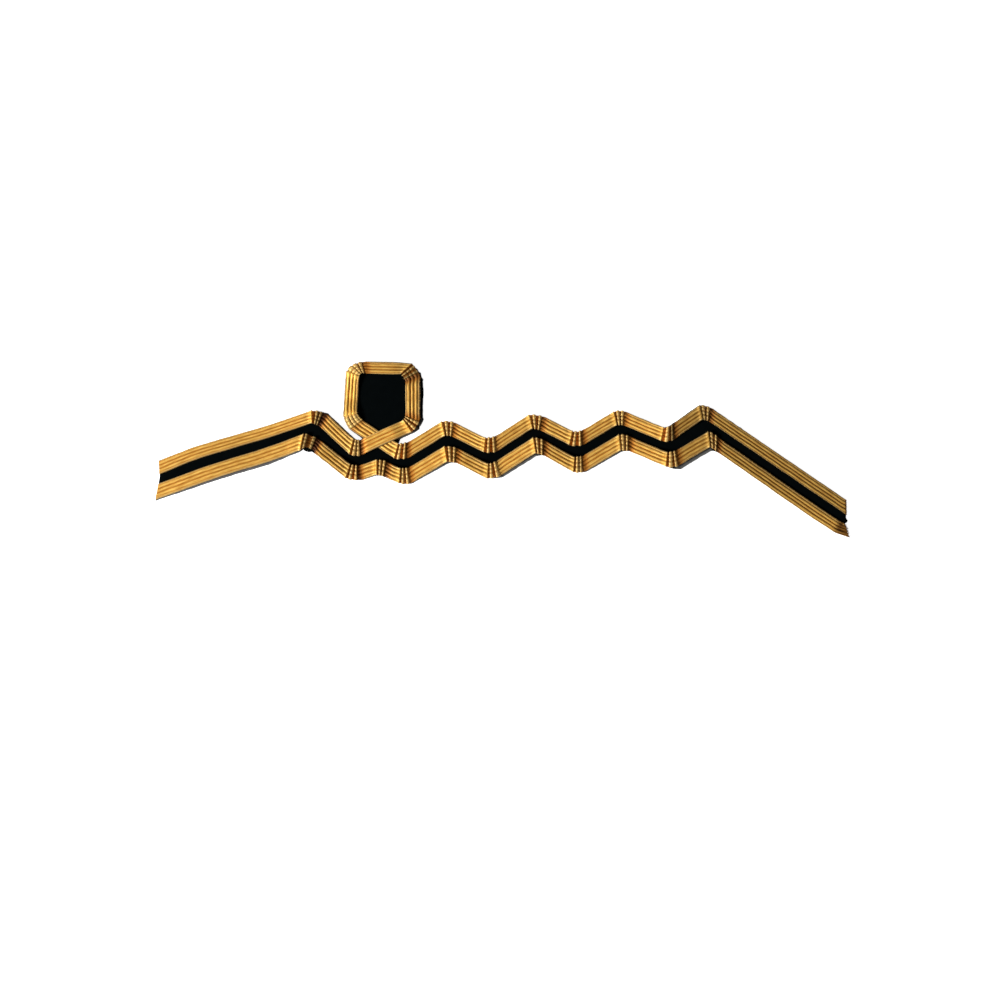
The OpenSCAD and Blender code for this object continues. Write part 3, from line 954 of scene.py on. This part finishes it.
before, after = (np.roll(way_out, k, axis=0) for k in (CORNER_STEPS, -CORNER_STEPS))
swelling = before[:, 1] * after[:, 0] - before[:, 0] * after[:, 1] > CORNER_TURN
facing = way_out @ SHADOW_WAY
shadow_share = np.where(swelling, smooth((facing - 0.76) / 0.14), smooth((facing - 0.90) / 0.08))
for x, y, reach in CLEAN_PLACES:
    shadow_share *= np.hypot(cut[:, 0] - x, cut[:, 1] - y) > reach
away = np.linalg.norm(flat[n_rim:, None] - cut[None, :], axis=2)
fade = smooth(1.1 - away.min(axis=1) / SHADOW_REACH)
on_face = np.concatenate([SHADOW_IN * shadow_share, SHADOW_IN * shadow_share[away.argmin(axis=1)] * fade])
at_rim = RIM_GREY + (1 - RIM_GREY) * shadow_share
add_attribute(ground.data, "cut", np.concatenate([on_face, on_face, at_rim, at_rim]))
# the share of the cut that gets the painted shadow
print("teased out:", round(float(np.mean(shadow_share > 0.5)) * 100), "% of the cut")

# %% [markdown]
# ## Threads
#
# What is left is thread: the stitches that hold the lace, the loose ends where it was cut, and the
# fibres along the scissors' cut. Each one is a thin closed tube along a short path. There are
# hundreds, so a tube has only a few faces, and all threads of one kind share one mesh.

# %% A tube, and a bundle of tubes
def tube(path, radii, sides):
    """The points of one thread, ring by ring."""
    path = np.array(path, dtype=float)
    ahead = np.gradient(path, axis=0)
    ahead /= np.linalg.norm(ahead, axis=1)[:, None]
    side = np.cross(ahead, (0.0, 0.0, 1.0))
    side /= np.linalg.norm(side, axis=1)[:, None]
    angle = (np.arange(sides) * 2 * math.pi / sides)[None, :, None]
    spokes = np.cos(angle) * side[:, None] + np.sin(angle) * np.cross(side, ahead)[:, None]
    return (path[:, None] + np.array(radii)[:, None, None] * spokes).reshape(-1, 3)


class Bundle:
    """Many threads that become one mesh."""

    def __init__(self):
        self.points, self.faces, self.worn, self.threads = [], [], [], 0

    def add(self, path, radii, sides=5, worn=0.0):
        start = len(self.worn)
        self.points.append(tube(path, radii, sides))
        self.faces += [tuple(start + k for k in face) for face in skin(len(path), sides, True)]
        self.worn += [worn] * len(path) * sides
        self.threads += 1

    def piece(self, name):
        piece = mesh_piece(name, np.vstack(self.points) * MM, self.faces)
        add_attribute(piece.data, "worn", self.worn)
        only(piece)
        bpy.ops.object.shade_smooth()
        print(name, "has", self.threads, "threads in", len(self.faces), "faces")
        return piece


print("faces of a thread with two bends:", len(skin(4, 5)))

# %% [markdown]
# ## Stitches
#
# The lace is felled down along both edges: the needle comes up through its selvedge and goes down
# into the cloth beside it, so each stitch lies over the edge at a slant. Behind the cloth the same
# thread runs on in short dashes. The stitches skip the folded turns, where the maker sews from
# below, and the part of the lace that passes under the crossing.

# %% Stitches along both edges
STITCH_STEP, FIRST_STITCH = 2.3, 0.4
STITCH_DEPTH, STITCH_END = 0.36, CLOTH_T - 0.02
# mm out of the edge and along it, then mm over the selvedge; the end is in the cloth
STITCH = [(-0.62, -0.30, -0.06), (-0.30, -0.12, 0.04), (-0.02, 0.0, -0.22), (0.10, 0.14, None)]
STITCH_RADII, DASH_RADII = [0.06, 0.09, 0.09, 0.05], [0.04, 0.08, 0.08, 0.04]
# share of the dash's length, mm over the table
DASH = [(-0.5, 0.10), (-0.35, 0.045), (0.35, 0.045), (0.5, 0.10)]
DASH_LENGTH, DASH_IN = 1.3, 0.35
TOO_DARK, TOO_HIGH = 0.25, CLOTH_T + LACE_T + 0.4
COVERED_LENGTH, COVERED_HALF = 22, 4.4


def face_stitch(s, side, slant):
    """A short thread from on top of the selvedge to the cloth beside it."""
    out = unit(s.line[side] - s.line[1 - side])
    along = np.array([-out[1], out[0]]) * slant
    selvedge = s.base + s.height - STITCH_DEPTH * s.relief
    path = []
    for a, b, up in STITCH:
        p = s.line[side] + out * a + along * b
        path.append((p[0], p[1], STITCH_END if up is None else selvedge + up))
    return path


def back_stitch(s, side, slant):
    """A dash of thread on the back of the cloth."""
    out = unit(s.line[side] - s.line[1 - side])
    along = np.array([-out[1], out[0]])
    middle = s.line[side] - out * DASH_IN
    return [(*(middle + along * DASH_LENGTH * t + out * slant * t), z) for t, z in DASH]


def covered(p):
    """Whether the place lies under the crossing."""
    over = way(UPPER, VALLEY_1)
    x, y = p - fold_line(UPPER, VALLEY_1, True).mean(axis=0)
    ahead, away = x * over[0] + y * over[1], abs(over[0] * y - over[1] * x)
    return 0 < ahead < COVERED_LENGTH and away < COVERED_HALF


def stitches(stations, on_run, crossed, seed):
    dice = random.Random(seed)
    bundle = Bundle()
    so_far, due = 0.0, FIRST_STITCH
    for a, b, free in zip(stations, stations[1:], on_run):
        place = b.line.mean(axis=0)
        so_far += np.linalg.norm(place - a.line.mean(axis=0))
        if so_far < due or not free or b.gap > TOO_DARK or (crossed and covered(place)):
            continue
        due = so_far + STITCH_STEP * dice.uniform(0.85, 1.15)
        for side in (0, 1):
            slant = (1 if side else -1) * dice.uniform(0.7, 1.2)
            if b.base + b.height < TOO_HIGH:
                bundle.add(face_stitch(b, side, slant), STITCH_RADII)
            bundle.add(back_stitch(b, side, dice.uniform(-0.3, 0.3)), DASH_RADII)
    return bundle


upper_bundle = stitches(upper_stations, upper_on_run, True, 21)
lower_bundle = stitches(lower_stations, lower_on_run, False, 22)
print("stitches:", upper_bundle.threads, "and", lower_bundle.threads)

# %% [markdown]
# ## Loose ends
#
# Where the lace was cut, its threads stand out a little. Three ends are tidy. The right end of the
# lower lace has come undone: its gold has gone and longer brown core threads hang out of it.

# %% Threads at the cut ends
FRAY_BEND, LOWEST = 22, 0.1
# share of the thread's length, share of its thickness
FRAY = [(-0.5, 1.0), (0.1, 1.0), (0.5, 0.9), (1.0, 0.45)]


def fray(bundle, rows, stations, at_start, count, reach, worn, seed):
    """Adds count threads at one end of a lace, as long as reach says."""
    dice = random.Random(seed)
    s = stations[0] if at_start else stations[-1]
    out = -way(rows, 0) if at_start else way(rows, len(rows) - 2)
    for n in range(count):
        u = (n + dice.uniform(0.2, 0.8)) / count
        root = s.line[0] * (1 - u) + s.line[1] * u
        length = dice.uniform(*reach)
        bent = turned(out, dice.uniform(-FRAY_BEND, FRAY_BEND))
        z = s.base + dice.uniform(0.15, 0.75) * s.height
        drop = dice.uniform(0.1, 0.5) * length
        path = []
        for t, _ in FRAY:
            p = root + (out * (1 - t) + bent * t) * length * t if t > 0 else root + out * t
            path.append((p[0], p[1], max(z - drop * max(t, 0) ** 2, LOWEST)))
        thick = dice.uniform(0.05, 0.09)
        bundle.add(path, [thick * taper for _, taper in FRAY], 4, worn)


fray(upper_bundle, UPPER, upper_stations, True, 26, (0.10, 0.45), 0.15, 31)
fray(upper_bundle, UPPER, upper_stations, False, 24, (0.10, 0.40), 0.9, 32)
fray(lower_bundle, LOWER, lower_stations, True, 26, (0.10, 0.45), 0.15, 33)
fray(lower_bundle, LOWER, lower_stations, False, 46, (0.25, 1.30), 1.0, 34)
upper_thread = upper_bundle.piece("upper_lace_thread")
lower_thread = lower_bundle.piece("lower_lace_thread")

# %% [markdown]
# ## Fibres along the cut
#
# Milled wool doesn't fray in threads, but single fibres stand out of a fresh cut. Two rows of very
# short hairs round the rim, each at its own slant, break up the edge where it meets the white.

# %% Fibres along the cut of the cloth
FIBRE_SHARE, FIBRE_LEVELS = 0.4, (0.30, 0.85)
FIBRE_REACH, FIBRE_BEND, FIBRE_ROOT = (0.08, 0.30), 55, 0.1
FIBRE_RADII = [0.035, 0.03, 0.012]


def fibres():
    dice = random.Random(41)
    bundle = Bundle()
    for n, out in enumerate(way_out):
        for level in FIBRE_LEVELS:
            if dice.random() > FIBRE_SHARE:
                continue
            root = cut[n] + (cut[(n + 1) % len(cut)] - cut[n]) * dice.random()
            length = dice.uniform(*FIBRE_REACH)
            bent = turned(out, dice.uniform(-FIBRE_BEND, FIBRE_BEND))
            height = level + dice.uniform(-0.12, 0.2)
            path = [(*(root - out * FIBRE_ROOT), height)]
            for t in (0.5, 1.0):
                p = root + (out * (1 - t) + bent * t) * length * t
                path.append((p[0], p[1], height + dice.uniform(-0.1, 0.08) * t))
            bundle.add(path, FIBRE_RADII, 3)
    return bundle


cut_fibres = fibres().piece("cloth_fibres")

# %% [markdown]
# ## Finishes
#
# Three finishes make the object: gold lace, sewing thread and black wool. Each is a short recipe of
# nodes. The helper below adds a node and joins it up, which keeps the recipes short.

# %% A helper for node recipes
class Recipe:
    """A material and short ways to add nodes to it."""

    def __init__(self, name):
        self.material = bpy.data.materials.new(name)
        self.material.use_nodes = True
        self.tree = self.material.node_tree
        self.shader = self.tree.nodes["Principled BSDF"]

    def fill(self, node, inputs):
        """Puts a number, a colour or another node's output into each of the inputs."""
        for key, value in inputs.items():
            if isinstance(value, tuple):
                node.inputs[key].default_value = (*value, 1.0)
            elif isinstance(value, (int, float)):
                node.inputs[key].default_value = value
            else:
                self.tree.links.new(value, node.inputs[key])

    def node(self, kind, inputs=None, **settings):
        made = self.tree.nodes.new(kind)
        for key, value in settings.items():
            setattr(made, key, value)
        self.fill(made, inputs or {})
        return made

    def sum(self, operation, *values):
        made = self.node("ShaderNodeMath", dict(enumerate(values)), operation=operation)
        return made.outputs[0]

    def blend(self, share, first, second, mode="MIX"):
        inputs = {0: share, 6: first, 7: second}
        return self.node("ShaderNodeMix", inputs, data_type="RGBA", blend_type=mode).outputs[2]

    def stretch(self, value, low, high):
        """0 at low and 1 at high."""
        inputs = {"Value": value, "From Min": low, "From Max": high}
        return self.node("ShaderNodeMapRange", inputs).outputs[0]

    def attribute(self, name):
        return self.node("ShaderNodeAttribute", attribute_name=name).outputs["Fac"]

    def speckle(self, vector, scale, detail):
        inputs = {"Vector": vector, "Scale": scale, "Detail": detail}
        return self.node("ShaderNodeTexNoise", inputs).outputs["Fac"]

    def bump(self, height, distance):
        inputs = {"Height": height, "Distance": distance, "Strength": 0.7}
        self.fill(self.shader, {"Normal": self.node("ShaderNodeBump", inputs).outputs["Normal"]})

    def finish(self, colour, metallic, roughness, specular):
        inputs = {"Base Color": colour, "Metallic": metallic, "Roughness": roughness}
        self.fill(self.shader, inputs | {"Specular IOR Level": specular})
        return self.material


def dress(pieces, material):
    for piece in pieces:
        piece.data.materials.append(material)
    print(material.name, "has", len(material.node_tree.nodes), "nodes")


print("a recipe can:", [name for name in vars(Recipe) if name[0] != "_"])

# %% [markdown]
# ## Gold lace
#
# Metal thread is wound across each cord. The UV map is in millimetres, so a wave of a third of a
# millimetre along the lace, pushed forward by the distance across, gives the slanted thread. Long
# faint streaks and fine grains keep it from looking ruled. The selvedges are duller. Shade is
# painted in: brown in the furrows, dark on the rims, and from red-brown to nearly black in the gaps
# of the pleats and where a run comes out below them. The crests get a pale painted highlight, and
# the tone value paints each place brighter or darker for the light there. The right end of the
# lower lace has lost its gold and shows its brown core.

# %% The gold finish
THREAD_PITCH, THREAD_SLANT, THREAD_DEPTH = 0.34, 0.45, 0.00002
STREAKS_ACROSS, STREAKS_ALONG, GRAINS_ACROSS = 2.2, 0.22, 1.2
DULL_GOLD, BRIGHT_GOLD, GLINT = (0.60, 0.268, 0.028), (0.97, 0.580, 0.116), (1.0, 0.70, 0.26)
# the selvedge colour also serves as the crests' painted highlight; the rim, furrow and gap colours
# are painted shade
SELVEDGE_AND_HIGHLIGHT, RIM_SHADE = (0.54, 0.39, 0.160), (0.15, 0.100, 0.040)
FURROW_SHADE_BROWN = (0.42, 0.126, 0.0002)
GAP_SHADE_BROWN, GAP_SHADE_DARK = (0.62, 0.23, 0.030), (0.080, 0.021, 0.0010)
DARK_CORE, LIGHT_CORE = (0.075, 0.022, 0.003), (0.44, 0.20, 0.035)


def gold_finish():
    r = Recipe("gold_lace_thread")
    uv = r.node("ShaderNodeUVMap", uv_map="lace").outputs["UV"]
    split = r.node("ShaderNodeSeparateXYZ", {0: uv})
    across, along = split.outputs["X"], split.outputs["Y"]

    def times(value, factor):
        return r.sum("MULTIPLY", value, factor)

    def place(x, y):
        return r.node("ShaderNodeCombineXYZ", {0: x, 1: y}).outputs[0]

    phase = r.sum("DIVIDE", r.sum("ADD", along, times(across, THREAD_SLANT)), THREAD_PITCH)
    wound = r.sum("ABSOLUTE", r.sum("SINE", times(phase, math.pi)))
    streaks = place(times(across, STREAKS_ACROSS), times(along, STREAKS_ALONG))
    streak = r.stretch(r.speckle(streaks, 1.0, 3.0), 0.32, 0.68)
    grain = r.speckle(place(times(across, GRAINS_ACROSS), phase), 1.0, 1.0)
    furrow, gap, edge = r.attribute("furrow"), r.attribute("gap"), r.attribute("edge")
    gold = r.blend(streak, DULL_GOLD, BRIGHT_GOLD)
    gold = r.blend(times(grain, 0.25), gold, GLINT)
    # the duller selvedge colour, which also serves as the pale highlight painted on the crests
    gold = r.blend(times(r.stretch(edge, 0.0, 0.5), 0.75), gold, SELVEDGE_AND_HIGHLIGHT)
    # painted shade on the rims and sides of the lace
    gold = r.blend(times(r.stretch(edge, 0.5, 1.0), 0.85), gold, RIM_SHADE)
    # painted brown shade in the furrows
    gold = r.blend(times(r.stretch(furrow, 0.15, 0.85), 0.66), gold, FURROW_SHADE_BROWN)
    # painted shade in the gaps of the pleats and below them, from red-brown to nearly black
    gold = r.blend(r.sum("MINIMUM", gap, 0.96), gold, GAP_SHADE_BROWN)
    gold = r.blend(r.stretch(gap, 1.0, 2.0), gold, GAP_SHADE_DARK)
    gold = r.blend(r.attribute("worn"), gold, r.blend(streak, DARK_CORE, LIGHT_CORE))
    # painted light: the tone value makes each place's colour brighter or darker for the light there
    tone = r.node("ShaderNodeCombineColor", {k: r.attribute("tone") for k in range(3)})
    gold = r.blend(1.0, gold, tone.outputs[0], "MULTIPLY")
    r.bump(r.sum("ADD", wound, times(grain, 0.5)), THREAD_DEPTH)
    return r.finish(gold, 0.3, 0.48, 0.15)


dress([upper_lace, lower_lace], gold_finish())

# %% [markdown]
# ## Sewing thread
#
# The stitches are of waxed yellow silk, duller than the gold. The core threads at the undone end
# are brown, which the worn value of each thread picks.

# %% The thread finish
DARK_SILK, LIGHT_SILK, CORE_BROWN = (0.42, 0.235, 0.050), (0.66, 0.40, 0.105), (0.17, 0.080, 0.028)


def thread_finish():
    r = Recipe("waxed_thread")
    place = r.node("ShaderNodeTexCoord").outputs["Object"]
    colour = r.blend(r.speckle(place, 1500.0, 1.0), DARK_SILK, LIGHT_SILK)
    return r.finish(r.blend(r.attribute("worn"), colour, CORE_BROWN), 0.0, 0.6, 0.2)


dress([upper_thread, lower_thread], thread_finish())

# %% [markdown]
# ## Black wool
#
# Milled cloth has no visible weave on its face and swallows the light. Two sizes of noise in object
# coordinates make the nap and its faint cloudiness. Along the cut the cloth goes grey by the share
# that was measured above: a little on every cut side, and a painted shadow where it faces down and
# to the right.

# %% The wool finish
WOOL_DARK, WOOL_CLOUD = (0.0006, 0.0011, 0.0012), (0.0016, 0.0024, 0.0026)
WOOL_NAP, CUT_GREY_AND_SHADOW = (0.0036, 0.0048, 0.0052), (0.222, 0.218, 0.212)
NAP_DEPTH = 0.00012


def wool_finish():
    r = Recipe("black_milled_wool")
    place = r.node("ShaderNodeTexCoord").outputs["Object"]
    cloud, nap = r.speckle(place, 260.0, 2.0), r.speckle(place, 3200.0, 3.0)
    colour = r.blend(cloud, WOOL_DARK, WOOL_CLOUD)
    colour = r.blend(r.sum("MULTIPLY", nap, 0.35), colour, WOOL_NAP)
    # grey on the cut sides, and the painted shadow where the cut faces down and to the right
    colour = r.blend(r.attribute("cut"), colour, CUT_GREY_AND_SHADOW)
    r.bump(r.sum("ADD", nap, cloud), NAP_DEPTH)
    return r.finish(colour, 0.0, 1.0, 0.0)


dress([ground, cut_fibres], wool_finish())

# %% [markdown]
# ## The pieces take the solids' place
#
# The cloth and the two laces each stand for a solid, whose part is hidden, threads and fibres go
# with them, and all ride on the one body.

# %% Replace the solids
for piece, slot, node in (
    (ground, "black_cloth", "ground_cloth"),
    (upper_lace, "upper_gold_lace", "upper_lace"),
    (lower_lace, "lower_gold_lace", "lower_lace"),
    (cut_fibres, "black_cloth", None),
    (upper_thread, "upper_gold_lace", None),
    (lower_thread, "lower_gold_lace", None),
):
    if node:
        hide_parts(node)
    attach(piece, "root")


# %% [markdown]
# ## The white ground
#
# The strip lies on plain white that shows no shadow of its own, so the table shines a little.

# %% The floor
bpy.ops.object.select_all(action="DESELECT")
bpy.ops.mesh.primitive_plane_add(size=6.0, location=(0, 0, 0))
floor = bpy.context.object
floor.name = "table"
floor.data.transform(floor.matrix_world)
floor.matrix_world.identity()
for corner in floor.data.vertices:
    corner.co.z = -0.05 * MM
r = Recipe("white_table")
r.fill(r.shader, {"Emission Color": (1.0, 1.0, 1.0), "Emission Strength": 0.88})
dress([floor], r.finish((0.92, 0.92, 0.92), 0.0, 0.9, 0.0))
floor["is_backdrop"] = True

# %% [markdown]
# ## Light
#
# One large soft light stands to the left and a little towards the viewer's side, low enough to pick
# out the cords, and an even white surrounding fills the rest. It crosses the falling runs squarely
# and the rising runs at a slant, so the furrows of the falling runs come out darker.

# %% The key light and the surrounding
LIGHT_PLACE, LIGHT_SIZE, LIGHT_WATTS = (-1.80, -0.48, 1.22), 0.6, 89
SURROUNDING = 0.19

light = bpy.data.lights.new("key_light", "AREA")
light.size, light.energy = LIGHT_SIZE, LIGHT_WATTS
lamp = bpy.data.objects.new("key_light", light)
bpy.context.collection.objects.link(lamp)
lamp.location, lamp.rotation_mode = LIGHT_PLACE, "QUATERNION"
lamp.rotation_quaternion = (-Vector(LIGHT_PLACE)).to_track_quat("-Z", "Y")

world = bpy.data.worlds.new("white_surrounding")
world.use_nodes = True
background = world.node_tree.nodes["Background"].inputs
background["Color"].default_value = (1.0, 1.0, 1.0, 1.0)
background["Strength"].default_value = SURROUNDING
bpy.context.scene.world = world
bpy.context.scene.view_settings.view_transform = "Standard"
print("light at", round(Vector(LIGHT_PLACE).length, 2), "m from the strip")

# %% [markdown]
# ## The camera
#
# The picture was taken from straight above. A pixel is 0.45 mm, and the picture's middle lies a
# little left of and well below the middle of the strip. A long lens keeps the view nearly flat.

# %% The camera
PIXELS, PIXEL = 1000, 0.45 * MM
LOOK_AT = (500 - 502.25) * PIXEL, (449.6 - 500) * PIXEL
LENS, SENSOR = 100.0, 36.0
MIDDLE_HEIGHT = 2.0 * MM

camera_data = bpy.data.cameras.new("photo_camera")
camera_data.lens, camera_data.sensor_width = LENS, SENSOR
camera = bpy.data.objects.new("photo_camera", camera_data)
bpy.context.collection.objects.link(camera)
camera.location = (*LOOK_AT, PIXELS * PIXEL * LENS / SENSOR + MIDDLE_HEIGHT)
bpy.context.scene.camera = camera
print("camera height in mm:", round(camera.location.z / MM))

# %% [markdown]
# ## Sizes
#
# The box of the dressed strip is printed. It should agree with the box of the solids to about a
# millimetre: only loose threads and fibres stand out further.

# %% Sizes
low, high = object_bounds()
print("visual box in mm:", [round(v / MM, 1) for v in low], [round(v / MM, 1) for v in high])
